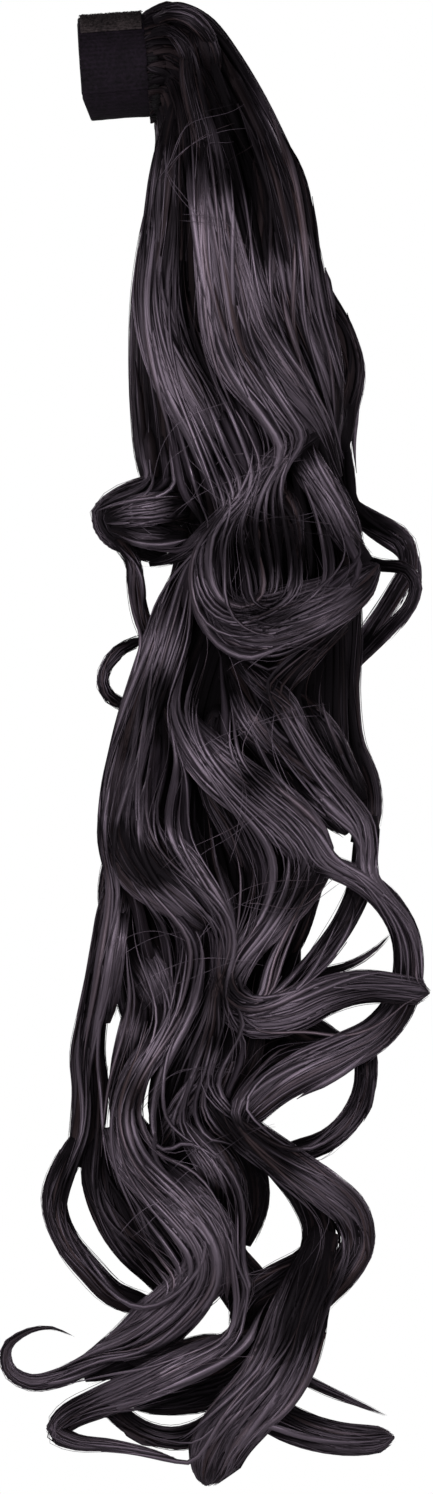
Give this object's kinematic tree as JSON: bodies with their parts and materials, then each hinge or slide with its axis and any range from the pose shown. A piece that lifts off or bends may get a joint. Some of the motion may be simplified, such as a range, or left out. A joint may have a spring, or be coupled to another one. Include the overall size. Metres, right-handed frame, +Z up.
{
  "type": "wrap-around ponytail hairpiece",
  "caption": "Long waved false ponytail that falls in loose curls from a short cloth tube, which wraps round the wearer's own gathered hair and closes with a pile fastener",
  "frame": {"origin": "centre of the cloth tube's open mouth, on the tube's axis, where the wearer's own gathered hair goes in", "axes": "+Z up with the tail hanging down along -Z, +X from the mouth through the tube into the hair (the tube's axis rises 4 degrees from it), -Y towards the viewer of the picture"},
  "size_m": [0.1618, 0.0801, 0.5578],
  "materials": {
    "band_cloth": "black knitted cloth tape, matt",
    "fastener_pile": "fuzzy loop pile, dark brown-grey",
    "weft": "machine-sewn weft edge, black thread",
    "hair": "synthetic hair fibre, black-brown with a soft silky sheen",
    "deep_hair": "the same fibre inside the tail, in shade"
  },
  "bodies": {
    "root": {"wrap_band": "band_cloth", "closing_flap": "band_cloth", "pile_strip": "fastener_pile", "weft_edge": "weft", "upper_fall": "hair", "inner_hair": "deep_hair", "root_fold": "hair", "crown_strand": "hair", "sweep_right": "hair", "sweep_left": "hair", "sweep_middle": "hair", "inner_fan": "hair", "under_crest": "hair", "left_bun": "hair", "left_drop": "hair", "left_ring": "hair", "diagonal_c": "hair", "curl_return": "hair", "diagonal_b": "hair", "thin_tip": "hair", "right_descender": "hair", "middle_wave": "hair", "left_mid": "hair", "left_edge": "hair", "left_inner": "hair", "left_fall": "hair", "diagonal_a": "hair", "big_curl": "hair", "crossing_lock": "hair", "bowl": "hair", "center_s": "hair", "low_ring": "hair", "right_arc": "hair", "right_tip": "hair", "low_left_inner": "hair", "low_middle": "hair", "far_left_curl": "hair", "left_loop": "hair", "low_center": "hair", "right_inner_loop": "hair", "right_loop": "hair", "low_s": "hair", "stray_lock": "hair", "low_hoop": "hair", "tail_tip": "hair", "dark_sweep": "hair", "low_trunk": "hair", "pointed_loop": "hair", "right_bulge": "hair", "back_sweep": "hair", "right_side": "hair", "right_hook_outer": "hair", "right_hook": "hair", "back_fall_right": "hair", "back_fall_left": "hair", "back_wave_left": "hair", "back_fall_middle": "hair", "back_wave_right": "hair"}
  },
  "joints": []
}
